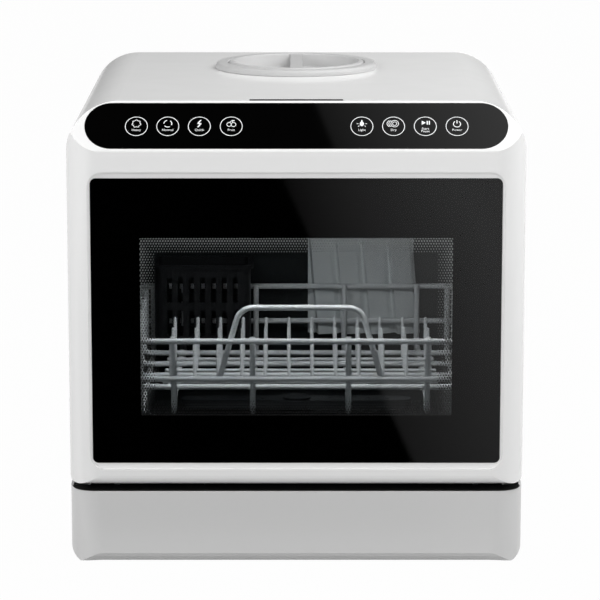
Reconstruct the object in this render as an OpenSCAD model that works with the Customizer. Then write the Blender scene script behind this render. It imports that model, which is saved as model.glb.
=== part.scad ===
// Countertop dishwasher with a built-in water tank and a drop-down window door.
// Millimetres. Origin on the floor below the middle of the machine; -Y is the front, +Z is up.

/* [Cabinet] */
// Width over the side walls
body_w = 420; // [380:5:480]
// Depth from the door face to the rear cover
body_d = 435; // [400:5:500]
// Height from the floor to the top face
body_h = 429; // [415:1:480]
// Thickness of the white outer shell
shell_t = 3; // [2:0.5:4]
// Radius of the two long top edges
shell_r = 47; // [30:1:60]
// Radius of the front corners seen from above
plan_r = 30; // [20:1:40]
// Height of the rubber feet under the base pan
foot_h = 5; // [4:1:10]
// Radius of a rubber foot
foot_r = 14; // [10:1:20]
// Distance of each foot's axis from the nearest side and end
foot_inset = 60; // [54:1:70]

/* [Plinth] */
// Top of the plinth above the floor
plinth_top = 71; // [66:1:74]
// Gap between the plinth and the door
door_gap = 6; // [5:1:8]

/* [Door] */
// Thickness of the door from its face to its liner
door_t = 40; // [38:1:46]
// Wall of the door shell
door_wall = 3; // [2:0.5:4]
// Height at which the sloping control face starts
slope_z = 388; // [370:1:390]
// How far the sloping face leans back
slope_back = 35; // [28:1:36]
// Depth of the step around the front glass
recess_deep = 2.5; // [1:0.5:4]
// Width of the front glass
glass_w = 374; // [330:1:376]
// Height of the front glass
glass_h = 264.5; // [230:0.5:266]
// Lower edge of the front glass above the floor
glass_z = 98; // [97:0.5:110]
// Width of the clear window
window_w = 285; // [220:1:310]
// Height of the clear window
window_h = 165; // [120:1:180]
// Lower edge of the clear window above the floor
window_z = 142.5; // [136:0.5:150]
// Height of the hinge axis above the floor
hinge_z = 89; // [88:0.5:92]
// Distance of the hinge axis behind the door face
hinge_back = 15.5; // [15:0.5:17]
// Radius of a hinge pin
pin_r = 3; // [2:0.5:4]
// Length of the finger slot in the top of the door
slot_w = 86; // [60:1:110]

/* [Control strip] */
// Length of the black control strip
strip_w = 384; // [340:1:386]
// Height of the black control strip, measured up the slope
strip_h = 49; // [40:1:50]
// Thickness of the control strip
strip_t = 1.6; // [1:0.1:2]

/* [Tub] */
// Inner width of the tub
tub_w = 344; // [320:1:350]
// Floor of the tub's ledge above the ground
tub_z = 122; // [120:1:126]
// Inner height of the tub above the ledge
tub_h = 240; // [220:1:242]
// Inner depth of the tub
tub_d = 314; // [300:1:330]
// Wall of the tub
tub_t = 2.5; // [2:0.5:3]
// Depth of the basin under the ledge
basin_deep = 24; // [22:1:28]
// Height of the two runners that carry the basket
runner_h = 4.7; // [3:0.1:6]
// Number of flutes on the air duct panel
flutes = 4; // [3:1:5]

/* [Basket] */
// Width over the basket's top rail
basket_w = 328; // [300:2:330]
// How far the basket sits to the right of the middle
basket_x = 4; // [-4:1:4]
// Depth over the basket's top rail
basket_d = 284; // [260:2:290]
// Height of the lower rail above the ledge
rail_low = 41; // [38:1:50]
// Height of the top rail above the ledge
rail_top = 77; // [66:1:90]
// Diameter of the thick wires
wire_d = 5.4; // [4:0.2:6]
// Diameter of the tines
tine_d = 3.6; // [3:0.2:4.2]
// Height of the tines above the basket floor
tine_h = 40; // [30:1:80]
// Number of tines in a row
tines = 12; // [5:1:14]

/* [Filler] */
// Outer diameter of the raised ring on the top cover
ring_d = 160; // [140:1:170]
// Height of the ring above the top face
ring_h = 6; // [4:1:8]
// Outer diameter of the cap
cap_d = 134; // [120:1:140]
// Diameter of the filler neck's bore
neck_d = 104; // [80:1:110]

/* [Spray arms] */
// Length of the lower spray arm
lower_arm = 226; // [180:2:236]
// Length of the upper spray arm
upper_arm = 180; // [140:2:200]

/* [Hidden] */
$fn = 64;
fit = 0.3;          // clearance between pieces that sit in each other
run = 0.08;         // running clearance of a shaft in its bore
weld = 0.05;        // gap between two wires at a weld

// Levels and planes that several pieces share
front = -body_d / 2;
back = body_d / 2;
half_w = body_w / 2;
door_bottom = plinth_top + door_gap;
door_back = front + door_t;
door_top = body_h;
door_face_t = 6.5;                       // wall behind the glass
shell_front = door_back + 1;             // front edge of the outer shell
frame_t = 3;
frame_y = shell_front + 4.5;             // front face of the tub frame
tub_y = frame_y + frame_t;               // mouth of the tub
tub_back = tub_y + tub_d;
tub_top = tub_z + tub_h;
tub_r = 22;
basin_z = tub_z - basin_deep;
basin_w = 280;
basin_y0 = tub_y + 34;
basin_d = 256;
basin_mid = basin_y0 + basin_d / 2;
rear_t = 4.5;                            // thickness of the rear cover
rear_y = back - rear_t;
pan_z = foot_h;
pan_t = 3;
skirt_z = foot_h - 3;                    // lower edge of the plinth's skirt
hinge_y = front + hinge_back;
slope_rise = door_top - slope_z;
slope_a = atan2(slope_back, slope_rise); // lean of the control face from vertical
slope_len = sqrt(slope_back * slope_back + slope_rise * slope_rise);
white = [0.93, 0.93, 0.93];
dark = [0.16, 0.17, 0.18];
grey = [0.45, 0.47, 0.48];
pale = [0.78, 0.8, 0.82];
steel = [0.7, 0.71, 0.72];
black = [0.03, 0.03, 0.03];

// ---- shared shapes ----

// Rectangle with round corners, centred, with true arcs
module rrect(w, h, r) {
    square([w - 2 * r, h], center = true);
    square([w, h - 2 * r], center = true);
    for (x = [-1, 1], y = [-1, 1])
        translate([x * (w / 2 - r), y * (h / 2 - r)]) circle(r);
}

// Rectangular frame with round corners
module rring(w, h, r, inner_w, inner_h, inner_r) {
    difference() {
        rrect(w, h, r);
        rrect(inner_w, inner_h, inner_r);
    }
}

// Extrudes an outline drawn in X and Z from y0, t deep
module along_y(y0, t)
    translate([0, y0 + t, 0]) rotate([90, 0, 0]) linear_extrude(t) children();

// Extrudes an outline drawn in Y and Z from x0, t wide
module along_x(x0, t)
    translate([x0, 0, 0]) rotate([90, 0, 90]) linear_extrude(t) children();

// Cylinder along Y from y0, and one along X from x0
module rod_y(r, y0, len) translate([0, y0 + len, 0]) rotate([90, 0, 0]) cylinder(r = r, h = len);
module rod_x(r, x0, len) translate([x0, 0, 0]) rotate([0, 90, 0]) cylinder(r = r, h = len);

function unit(v) = v / norm(v);

// Points that round the corner p of a polygon with radius r, in n steps
function corner(a, p, b, r, n) =
    let (u = unit(a - p), v = unit(b - p), half = acos(u * v) / 2, reach = r / tan(half),
         centre = p + unit(u + v) * r / sin(half), s = p + u * reach, e = p + v * reach,
         a0 = atan2(s[1] - centre[1], s[0] - centre[0]),
         turn = atan2(e[1] - centre[1], e[0] - centre[0]) - a0,
         sweep = turn > 180 ? turn - 360 : turn < -180 ? turn + 360 : turn)
    [for (i = [0:n]) centre + r * [cos(a0 + sweep * i / n), sin(a0 + sweep * i / n)]];

// A polygon's points with each corner rounded by its own radius; 0 keeps it sharp
function rounded(p, radii, n) = [
    for (i = [0:len(p) - 1])
        for (q = radii[i] > 0
                 ? corner(p[(i + len(p) - 1) % len(p)], p[i], p[(i + 1) % len(p)], radii[i], n)
                 : [p[i]]) q
];

// Places a shape on the sloping control face: its +Z is the outward normal, +Y runs up the slope
module on_slope()
    translate([0, front + slope_back / 2, slope_z + slope_rise / 2])
        rotate([90 - slope_a, 0, 0]) children();

// ---- cabinet ----

// Outline of the shell and the door seen from the front, from z0 up to top, inset all round
module front_outline(z0, top, inset, low_r) {
    w = body_w - 2 * inset;
    r = shell_r - inset;
    z = z0 + inset;
    translate([-w / 2, z + low_r]) square([w, top - inset - r - z - low_r]);
    translate([-w / 2 + r, z + low_r]) square([w - 2 * r, top - inset - z - low_r]);
    if (low_r > 0) translate([-w / 2 + low_r, z]) square([w - 2 * low_r, low_r]);
    for (x = [-1, 1]) {
        translate([x * (w / 2 - r), top - inset - r]) circle(r);
        if (low_r > 0) translate([x * (w / 2 - low_r), z + low_r]) circle(low_r);
    }
}

module outer_shell() color(white) difference() {
    along_y(shell_front, rear_y - shell_front) difference() {
        front_outline(pan_z + pan_t, body_h, 0, 0);
        front_outline(pan_z, body_h, shell_t, 0);
        translate([-half_w + shell_t, 0]) square([body_w - 2 * shell_t, body_h / 2]);
    }
    translate([0, filler_y, body_h - 20]) cylinder(d = cap_d + 6, h = 40);
    // finger pocket behind the door's slot
    translate([-slot_w / 2, shell_front - 1, body_h - shell_t - 1])
        cube([slot_w, frame_y + frame_t + fit - shell_front + 1, shell_t + 2]);
    // front lip: the sides step back below the door for the plinth
    translate([-half_w - 1, shell_front - 1, pan_z])
        cube([body_w + 2, plinth_side_d + 1, door_bottom - 4 - pan_z]);
}
plinth_side_d = 20;

// White rear cover with a vent field, a port bay and the screws' holes
port_x = -120;
port_z = 62;
port_w = 120;
port_h = 64;
port_deep = 26;
fan_x = 74;
fan_z = 262;
module rear_cover() color(white) difference() {
    union() {
        along_y(rear_y, rear_t) difference() {
            front_outline(pan_z + pan_t, body_h, 0, 0);
            for (i = [-4:4], j = [0:1])
                translate([fan_x + i * 9, fan_z - 22 + j * 44]) rrect(4, 34, 1.9);
            translate([port_x, port_z]) rrect(port_w, port_h, 6);
        }
        // a lip that goes inside the shell
        along_y(rear_y - 8, 8) difference() {
            translate([0, -fit]) front_outline(pan_z + pan_t + 4, body_h, shell_t + fit, 0);
            translate([0, -2]) front_outline(pan_z + pan_t, body_h, shell_t + 2, 0);
            translate([-half_w, 0]) square([body_w, pan_z + pan_t + 12]);
        }
        // the port bay's walls and floor
        along_y(rear_y - port_deep, port_deep) translate([port_x, port_z])
            rring(port_w + 5, port_h + 5, 8, port_w, port_h, 6);
        along_y(rear_y - port_deep, 3) translate([port_x, port_z]) rrect(port_w + 5, port_h + 5, 8);
    }
    translate([port_x - 34, 0, port_z]) rod_y(inlet_r - 4, rear_y - port_deep - 1, 6);
    translate([port_x + 4, 0, port_z]) rod_y(drain_r - 3.5, rear_y - port_deep - 1, 6);
    translate([port_x + 38, 0, port_z]) rod_y(gland_r, rear_y - port_deep - 1, 6);
    for (p = screw_places) translate([p[0], 0, p[1]]) {
        rod_y(1.8, rear_y - 1, rear_t + 2);
        rod_y(4, back - 2.3, 3);
    }
    // stiffening grooves, and the seat of the rating plate
    along_y(back - 0.8, 2) {
        translate([0, (swage_z + body_h - 36) / 2])
            rring(body_w - 76, body_h - 36 - swage_z, 18, body_w - 82, body_h - 42 - swage_z, 15);
        for (i = [0:4]) translate([0, swage_z + 20 + 16 * i]) rrect(body_w - 130, 5, 2.4);
    }
    along_y(back - plate_deep, 2) translate([plate_x, plate_z]) rrect(plate_w, plate_h, 3);
}
swage_z = port_z + port_h / 2 + 20;
plate_w = 92;
plate_h = 54;
plate_deep = 0.6;
plate_x = -92;
plate_z = fan_z + 64;
screw_places = [for (x = [-1, 1], z = [60, 210, 350]) [x * (half_w - 16), z]];

module cover_screws() color(steel) for (p = screw_places)
    translate([p[0], 0, p[1]]) {
        rod_y(1.6, back - 12, 10);
        difference() {
            rod_y(3.6, back - 2.2, 1.9);
            translate([0, back, 0]) cube([0.8, 2, 5], center = true);
            translate([0, back, 0]) cube([5, 2, 0.8], center = true);
        }
    }

// Base pan: a shallow tray with a raised edge and ribs
pan_mid = (rear_y + front) / 2 + 2;
pan_w = body_w - 10;
pan_d = rear_y - front - 10;
module base_pan() color(dark) difference() {
    union() {
        translate([0, pan_mid, pan_z]) linear_extrude(pan_t) rrect(pan_w, pan_d, plan_r - 4);
        translate([0, pan_mid, pan_z]) linear_extrude(16)
            rring(pan_w, pan_d, plan_r - 4, pan_w - 6, pan_d - 6, plan_r - 7);
        for (x = [-182, -75, 0, 60, 182])
            translate([x - 1.5, front + 50, pan_z]) cube([3, rear_y - front - 110, 7]);
    }
    for (x = [-1, 1], y = [-1, 1])
        translate([x * foot_x, y * foot_y, pan_z - 1]) cylinder(r = 4, h = 20);
}
foot_x = half_w - foot_inset;
foot_y = body_d / 2 - foot_inset - 8;

module rubber_feet() color(black) for (x = [-1, 1], y = [-1, 1])
    translate([x * foot_x, y * foot_y, 0]) {
        difference() {
            union() {
                cylinder(r = foot_r, h = foot_h);
                cylinder(r = 3.8, h = foot_h + pan_t + 1.5);
            }
            translate([0, 0, -1]) cylinder(r = 6, h = 3);
        }
        translate([0, 0, foot_h + pan_t]) cylinder(r = 5.4, h = 2);
    }

// Plinth: a U-shaped skirt with round front corners and a soft lower edge
module plinth_plan(inset) {
    r = plan_r - inset;
    w = body_w - 2 * inset - 1;
    y0 = front + inset + 0.5;
    y1 = shell_front + plinth_side_d - 1;
    translate([-w / 2 + r, y0]) square([w - 2 * r, y1 - y0]);
    translate([-w / 2, y0 + r]) square([w, y1 - y0 - r]);
    for (x = [-1, 1]) translate([x * (w / 2 - r), y0 + r]) circle(r);
}
module front_plinth() color(white) difference() {
    intersection() {
        translate([0, 0, skirt_z]) linear_extrude(plinth_top - skirt_z) plinth_plan(0);
        along_y(front - 1, body_d) translate([0, (skirt_z + plinth_top + 30) / 2])
            rrect(body_w, plinth_top - skirt_z + 30, 16);
        along_x(-half_w, body_w) polygon(rounded([[front, skirt_z], [back, skirt_z],
            [back, plinth_top], [front, plinth_top]], [14, 0, 0, 1.5], 6));
    }
    translate([0, 0, skirt_z - 1]) linear_extrude(plinth_top - skirt_z + 1 - shell_t)
        difference() {
            plinth_plan(shell_t);
            translate([-half_w, front]) square([body_w, 12]);
        }
    translate([-half_w + 20, front + 3, pan_z + 17])
        cube([body_w - 40, 12, plinth_top - pan_z - 17 - shell_t]);
    // the top is open behind the door's lower edge
    translate([-half_w + shell_t, front + 24, skirt_z])
        cube([body_w - 2 * shell_t, door_t + 40, plinth_top]);
    // seat over the base pan
    translate([0, pan_mid, skirt_z - 1]) linear_extrude(pan_z - skirt_z + 17 + fit)
        rrect(pan_w + 2 * fit, pan_d + 2 * fit, plan_r - 4 + fit);
}

// Dark frame between the shell and the tub's mouth
module front_frame() color(dark) difference() {
    union() {
        along_y(frame_y, frame_t) difference() {
            translate([0, -fit]) front_outline(plinth_top + 2, body_h, shell_t + fit, 0);
            translate([0, tub_z + tub_h / 2]) rrect(tub_w, tub_h, tub_r);
        }
        // a lip that lines the back of the finger pocket
        translate([-slot_w / 2 + fit, frame_y + frame_t - 1.8, body_h - shell_t - 8])
            cube([slot_w - 2 * fit, 1.8, shell_t + 7.8]);
    }
    for (x = [-1, 1]) translate([x * arm_x - arm_t / 2 - 1, frame_y - 1, 60])
        cube([arm_t + 2, frame_t + 2, hinge_z + eye_r + 2 - 60]);
    translate([-strike_w / 2 - 3, frame_y - 1, latch_z - 6]) cube([strike_w + 6, frame_t + 2, 12]);
}

// ---- tub ----

tub_mid = tub_z + tub_h / 2;
filter_x = 76;
filter_y = basin_mid - 70;
filter_r = 30;
stem_r = 11;
module tub() color(grey) difference() {
    union() {
        along_y(tub_y, tub_d + tub_t) translate([0, tub_mid])
            rrect(tub_w + 2 * tub_t, tub_h + 2 * tub_t, tub_r + tub_t);
        along_y(tub_y, 3) translate([0, tub_mid]) rrect(tub_w + 24, tub_h + 18, tub_r + 9);
        translate([0, basin_mid, basin_z - tub_t]) linear_extrude(basin_deep)
            rrect(basin_w + 2 * tub_t, basin_d + 2 * tub_t, 30 + tub_t);
    }
    along_y(tub_y - 1, tub_d + 1) difference() {
        translate([0, tub_mid]) rrect(tub_w, tub_h, tub_r);
        // the runners stand on the ledge beside the basin
        for (x = [-1, 1]) translate([x * 150.5 - 9.5, tub_z - 1]) square([19, runner_h + 1]);
    }
    translate([0, basin_mid, basin_z]) linear_extrude(basin_deep + 20) rrect(basin_w, basin_d, 30);
    translate([filter_x, filter_y, basin_z - 5]) cylinder(r = filter_r + fit, h = 10);
    translate([0, basin_mid, basin_z - 5]) cylinder(r = stem_r + fit, h = 10);
    translate([0, basin_mid, tub_top - 1]) cylinder(r = stem_r + fit, h = 10);
    translate([lamp_x, lamp_y, tub_top - 1]) cylinder(r = lamp_r + fit, h = 10);
    translate([duct_x, 0, duct_hole_z]) rod_y(24, tub_back - 1, 6);
}

module tub_gasket() color(black) along_y(door_back + fit, frame_y - door_back - fit) {
    translate([0, tub_mid]) rring(tub_w + 14, tub_h + 14, tub_r + 7, tub_w + 4, tub_h + 4, tub_r + 2);
}

// Fluted panel of the drying duct on the tub's rear wall
duct_x = fan_x - 8;
duct_w = 108;
duct_hole_z = tub_top - 44;
flute_w = duct_w / flutes;
flute_lean = 5;
module air_duct_panel() color(pale) difference() {
    union() {
        translate([duct_x - duct_w / 2, tub_back - 5, tub_z + 26])
            cube([duct_w, 4.9, tub_h - 52]);
        intersection() {
            for (i = [0:flutes - 1])
                translate([duct_x - duct_w / 2 + (i + 0.5) * flute_w, 0, tub_z + tub_h / 2])
                    rotate([0, -flute_lean, 0]) translate([-flute_w / 2, 0, -tub_h / 2])
                        linear_extrude(tub_h) polygon([
                            [0.8, tub_back - 4.9], [3, tub_back - 15], [flute_w - 5, tub_back - 9],
                            [flute_w - 1, tub_back - 4.9]]);
            translate([duct_x - duct_w / 2 - 12, tub_back - 16, tub_z + 26])
                cube([duct_w + 24, 12, tub_h - 52]);
        }
    }
    for (i = [0:flutes - 1]) translate([duct_x - duct_w / 2 + (i + 0.5) * flute_w, 0, duct_hole_z])
        rod_y(6, tub_back - 20, 30);
}

lamp_x = -110;
lamp_y = tub_y + 60;
lamp_r = 13;
module tub_lamp() color(pale) {
    translate([lamp_x, lamp_y, tub_top - 3]) cylinder(r = lamp_r, h = 14);
    translate([lamp_x, lamp_y, tub_top - 3]) cylinder(r = lamp_r + 3, h = 2.8);
}

// ---- water tank and its filler ----

filler_y = 80;
tank_z0 = tub_top + tub_t + 9.5;
tank_z1 = body_h - 13;
tank_y0 = tub_y + 24;
tank_y1 = rear_y - 14;
tank_w = body_w - 2 * shell_r + 30;
tank_t = 2.5;
module water_tank() color(pale) difference() {
    union() {
        translate([0, (tank_y0 + tank_y1) / 2, tank_z0]) linear_extrude(tank_z1 - tank_z0)
            rrect(tank_w, tank_y1 - tank_y0, 20);
        // posts that stand on the tub
        for (x = [-1, 1], y = [tank_y0 + 40, tub_back - 40])
            translate([x * 130, y, tub_top + tub_t + 0.2]) cylinder(r = 7, h = 12);
    }
    translate([0, (tank_y0 + tank_y1) / 2, tank_z0 + tank_t])
        linear_extrude(tank_z1 - tank_z0 - 2 * tank_t)
            rrect(tank_w - 2 * tank_t, tank_y1 - tank_y0 - 2 * tank_t, 20 - tank_t);
    translate([0, filler_y, tank_z1 - 10]) cylinder(d = neck_d, h = 40);
    // recess of the level sender's wires
    translate([0, tank_y0 - 1, tank_z1 - 3]) cube([30, 6, 8], center = true);
}

// Funnel that joins the tank's mouth to a raised ring on the top cover
well_z = tank_z1 + 0.2;
module filler_ring() color(white) translate([0, filler_y, 0]) rotate_extrude($fn = 96) polygon(concat(
    [[neck_d / 2, well_z], [cap_d / 2 + 2.8, well_z], [cap_d / 2 + 2.8, body_h + 0.2],
     [ring_d / 2, body_h + 0.2]],
    [for (a = [0:15:90]) [ring_d / 2 - 4 + 4 * cos(a), body_h + ring_h - 4 + 4 * sin(a)]],
    [[cap_d / 2 + 1.6, body_h + ring_h], [cap_d / 2 + 0.6, body_h + ring_h - 1],
     [cap_d / 2 + 0.6, well_z + 3], [neck_d / 2, well_z + 3]]));

// Cap: a dish with a bar across it to grip, and a plug below that fills the tank's mouth
cap_z = well_z + 3.4;
cap_rim = body_h + ring_h + 1;
cap_floor = cap_z + 2.5;
bar_t = 12;
module tank_cap() color(white) translate([0, filler_y, 0]) {
    difference() {
        union() {
            rotate_extrude($fn = 96) polygon(concat(
                [[0, cap_z], [cap_d / 2 - 1, cap_z], [cap_d / 2, cap_z + 1]],
                [for (a = [0:30:90]) [cap_d / 2 - 2.5 + 2.5 * cos(a), cap_rim - 2.5 + 2.5 * sin(a)]],
                [[cap_d / 2 - 4.5, cap_rim], [cap_d / 2 - 5.5, cap_rim - 1],
                 [cap_d / 2 - 9, cap_floor + 1.5], [cap_d / 2 - 12, cap_floor], [0, cap_floor]]));
            intersection() {
                translate([-bar_t / 2, -cap_d / 2 + 3, cap_floor - 1])
                    cube([bar_t, cap_d - 6, cap_rim - 0.6 - cap_floor + 1]);
                translate([0, 0, cap_floor - 1]) cylinder(d = cap_d - 6, h = 30);
            }
            translate([0, 0, cap_z - 14]) cylinder(d = neck_d - 5, h = 15);
        }
        translate([0, 0, cap_z - 15]) cylinder(d = neck_d - 13, h = 14);
        translate([0, 0, cap_z - 9 - fit]) difference() {
            cylinder(d = neck_d, h = 4 + 2 * fit);
            translate([0, 0, -1]) cylinder(d = neck_d - 9, h = 8);
        }
    }
}

// Rubber ring that seals the cap's plug in the neck
module cap_gasket() color(black) translate([0, filler_y, cap_z - 9]) difference() {
    cylinder(d = neck_d - 0.5, h = 4);
    translate([0, 0, -1]) cylinder(d = neck_d - 8.6, h = 6);
}

// Level float on its guide rod inside the tank
float_x = 120;
float_y = tank_y0 + 60;
module float_guide() color(pale) {
    translate([float_x, float_y, tank_z0 + tank_t + 0.1])
        cylinder(r = 4, h = tank_z1 - tank_z0 - 2 * tank_t - 0.2);
    translate([float_x, float_y, tank_z0 + tank_t + 0.1]) cylinder(r = 12, h = 3);
}
module level_float() color(white) translate([float_x, float_y, tank_z0 + tank_t + 3.4]) difference() {
    cylinder(r = 13, h = 12);
    translate([0, 0, -1]) cylinder(r = 4 + run, h = 20);
}

// ---- water circuit under the tub ----

sump_x = 26;
sump_w = 190;
sump_y = basin_mid - 30;
sump_d = 150;
sump_z = 44;
module sump() color(dark) difference() {
    union() {
        translate([sump_x, sump_y, sump_z]) linear_extrude(basin_z - tub_t - fit - sump_z)
            rrect(sump_w, sump_d, 22);
        translate([0, basin_mid, basin_z - 26]) cylinder(r = stem_r - 2, h = 14);
        for (x = [-1, 1]) translate([sump_x + x * 60, sump_y, pan_z + pan_t + 0.1])
            cylinder(r = 8, h = sump_z - pan_z - pan_t + 1);
    }
    difference() {
        translate([sump_x, sump_y, sump_z + 3]) linear_extrude(60) rrect(sump_w - 6, sump_d - 6, 19);
        translate([0, basin_mid, sump_z]) cylinder(r = stem_r + 3, h = basin_z - tub_t - 2 - sump_z);
    }
    translate([0, basin_mid, sump_z + 10]) cylinder(r = stem_r - 5, h = 60);
    translate([0, basin_mid, basin_z - 12]) cylinder(r = stem_r + fit, h = 30);
    translate([sump_x - sump_w / 2 - 1, wash_y, wash_z]) rod_x(10, -2, 8);
}

// Twist-out filter: a slotted cup with a handle bar
module filter_cup() color(grey) translate([filter_x, filter_y, 0]) {
    difference() {
        union() {
            translate([0, 0, sump_z + 6]) cylinder(r = filter_r - 3, h = basin_z - sump_z - 3);
            translate([0, 0, basin_z + 0.2]) cylinder(r = filter_r + 5, h = 2.4);
        }
        translate([0, 0, sump_z + 8]) cylinder(r = filter_r - 5, h = 80);
        for (a = [0:30:330]) rotate([0, 0, a])
            translate([filter_r - 8, -1.5, sump_z + 12]) cube([10, 3, basin_z - sump_z - 24]);
    }
    translate([-2, -filter_r + 4, basin_z - 3]) cube([4, 2 * filter_r - 8, 8]);
}

// Wash pump: a scroll housing and its motor, lying along X
wash_x = -128;
wash_y = basin_mid - 20;
wash_z = 55;
module wash_pump() color(dark) translate([0, wash_y, wash_z]) difference() {
    union() {
        rod_x(33, wash_x, 38);
        rod_x(27, wash_x - 44, 44);
        rod_x(11, wash_x + 38, sump_x - sump_w / 2 - wash_x - 38 - 0.1);
        translate([wash_x - 40, -20, pan_z + pan_t - wash_z + 0.1]) cube([70, 40, 24]);
    }
    rod_x(29.5, wash_x + 4, 30);
    rod_x(8, wash_x + 20, 80);
}
module pump_impeller() color(pale) translate([0, wash_y, wash_z]) {
    rod_x(7, wash_x + 4.4, 22);
    rod_x(25, wash_x + 6, 3);
    for (a = [0:60:300]) rotate([a, 0, 0]) translate([wash_x + 8.9, 5, -1.2]) cube([14, 19, 2.4]);
}

drain_x = 142;
drain_y = 80;
module drain_pump() color(dark) {
    translate([drain_x, drain_y, 40]) rod_y(24, 0, 30);
    translate([drain_x, drain_y + 30, 40]) rod_y(19, 0, 36);
    translate([drain_x - 20, drain_y + 4, pan_z + pan_t + 0.1]) cube([40, 58, 14]);
    // hose to the sump
    translate([sump_x + sump_w / 2 + 0.1, sump_y + 40, 60]) rod_x(9, 0, drain_x - sump_x - sump_w / 2 + 8);
    translate([drain_x, sump_y + 40, 60]) rod_y(9, 0, 10);
    translate([drain_x, sump_y + 40, 48]) rod_y(9, 0, drain_y - sump_y - 40 + 5);
    translate([drain_x, sump_y + 44, 48]) cylinder(r = 9, h = 12);
}

// Flow-through heater with its bracket
heater_x = 0;
heater_y = 120;
module flow_heater() color(steel) translate([heater_x, heater_y, 48]) {
    rod_x(19, -52, 104);
    rod_x(22, -56, 6);
    rod_x(22, 50, 6);
    for (x = [-40, 34]) translate([x, -12, pan_z + pan_t - 48 + 0.1]) cube([6, 24, 30]);
}

// ---- drying fan, electrics and ports ----

fan_y = tub_back + tub_t + 0.2;
fan_r = 40;
fan_deep = 30;
module fan_housing() color(dark) translate([fan_x, fan_y, fan_z]) difference() {
    union() {
        rod_y(fan_r + 6, 0, fan_deep);
        translate([duct_x - fan_x - 24, 0, 0]) cube([48, fan_deep, duct_hole_z - fan_z + 26]);
    }
    difference() {
        rod_y(fan_r + 3, 3, fan_deep - 6);
        rod_y(7, 2, 3.6);
    }
    rod_y(2.5 + run, -1, 9);
    rod_y(fan_r - 12, fan_deep - 4, 6);
    translate([duct_x - fan_x - 21, 3, 0]) cube([42, fan_deep - 6, duct_hole_z - fan_z + 23]);
    translate([duct_x - fan_x, 0, duct_hole_z - fan_z]) rod_y(20, -1, 6);
}
fan_blades = 14;
module fan_wheel() color(pale) translate([fan_x, fan_y, fan_z]) {
    rod_y(fan_r, 6, 2);
    rod_y(8, 6, 14);
    rod_y(2.5, 0.4, 8);
    for (i = [0:fan_blades - 1]) rotate([0, i * 360 / fan_blades, 0])
        translate([fan_r - 9, 7.9, -0.8]) rotate([0, 24, 0]) cube([8.5, 16, 1.6]);
}

board_x = -92;
board_z = 250;
module main_board() color([0.1, 0.35, 0.2]) {
    translate([board_x - 60, rear_y - 14, board_z - 75]) cube([120, 1.6, 150]);
    for (x = [-52, 52], z = [-67, 67]) translate([board_x + x, 0, board_z + z])
        rod_y(3, rear_y - 12.4, 12.3);
    for (p = [[-30, 40, 24], [10, 40, 18], [-34, -30, 30], [18, -36, 22]])
        translate([board_x + p[0], rear_y - 14 - 12, board_z + p[1]]) cube([p[2], 12, p[2]]);
}

inlet_r = 13;
drain_r = 10;
gland_r = 7;
module inlet_spigot() color(pale) translate([port_x - 34, 0, port_z]) difference() {
    union() {
        rod_y(inlet_r, rear_y - port_deep + 3.1, 20);
        rod_y(inlet_r - 4 - fit, rear_y - port_deep - 10, 15);
    }
    rod_y(inlet_r - 6, rear_y - port_deep - 11, 50);
}
module drain_spigot() color(grey) translate([port_x + 4, 0, port_z]) difference() {
    union() {
        rod_y(drain_r, rear_y - port_deep + 3.1, 20);
        rod_y(drain_r - 3.5 - fit, rear_y - port_deep - 10, 15);
    }
    rod_y(drain_r - 5.5, rear_y - port_deep - 11, 50);
}
// Socket of the mains lead, with no lead in it
module power_gland() color(black) translate([port_x + 38, 0, port_z]) difference() {
    union() {
        rod_y(gland_r + 3, rear_y - port_deep + 3.1, 4);
        rod_y(gland_r - fit, rear_y - port_deep - 6, 12);
    }
    rod_y(4, rear_y - port_deep - 7, 20);
}

// ---- hinges and latch ----

arm_x = 168;
arm_t = 4;
eye_r = 8.5;
arm_back = frame_y + frame_t + 14;
module hinge_arm(side) color(steel) along_x(side * arm_x - arm_t / 2, arm_t) difference() {
    union() {
        translate([hinge_y, hinge_z]) circle(eye_r);
        translate([hinge_y, hinge_z - eye_r]) square([arm_back - hinge_y, 2 * eye_r]);
        translate([arm_back - 22, pan_z + pan_t + 0.1]) square([22, hinge_z - pan_z - pan_t]);
        translate([arm_back - 22, pan_z + pan_t + 0.1]) square([34, 14]);
    }
    translate([hinge_y, hinge_z]) circle(pin_r + run);
}
module hinge_arm_left() hinge_arm(-1);
module hinge_arm_right() hinge_arm(1);

// U-shaped bracket in the door whose two ears hold the pin
ear_gap = 16;
ear_t = 3;
module hinge_bracket(side) color(steel) difference() {
    translate([side * arm_x, 0, 0]) union() {
        for (x = [-1, 1]) translate([x * (ear_gap + ear_t) / 2 - ear_t / 2, 0, 0]) along_x(0, ear_t) {
            translate([hinge_y, hinge_z]) circle(7);
            translate([hinge_y - 7, hinge_z]) square([door_back - 3 - hinge_y + 7 - fit, 19]);
        }
        translate([-(ear_gap + 2 * ear_t) / 2, door_back - 3 - ear_t - fit, hinge_z + 9.5])
            cube([ear_gap + 2 * ear_t, ear_t, 9.5]);
    }
    translate([0, hinge_y, hinge_z]) rod_x(pin_r + 0.02, -half_w, body_w);
}
module hinge_bracket_left() hinge_bracket(-1);
module hinge_bracket_right() hinge_bracket(1);

module hinge_pins() color(steel) for (s = [-1, 1])
    translate([s * arm_x, hinge_y, hinge_z]) {
        rod_x(pin_r, -ear_gap / 2 - ear_t - 2, ear_gap + 2 * ear_t + 4);
        rod_x(pin_r + 2, s > 0 ? -ear_gap / 2 - ear_t - 2 : ear_gap / 2 + ear_t + 0.1, 1.9);
    }

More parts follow.
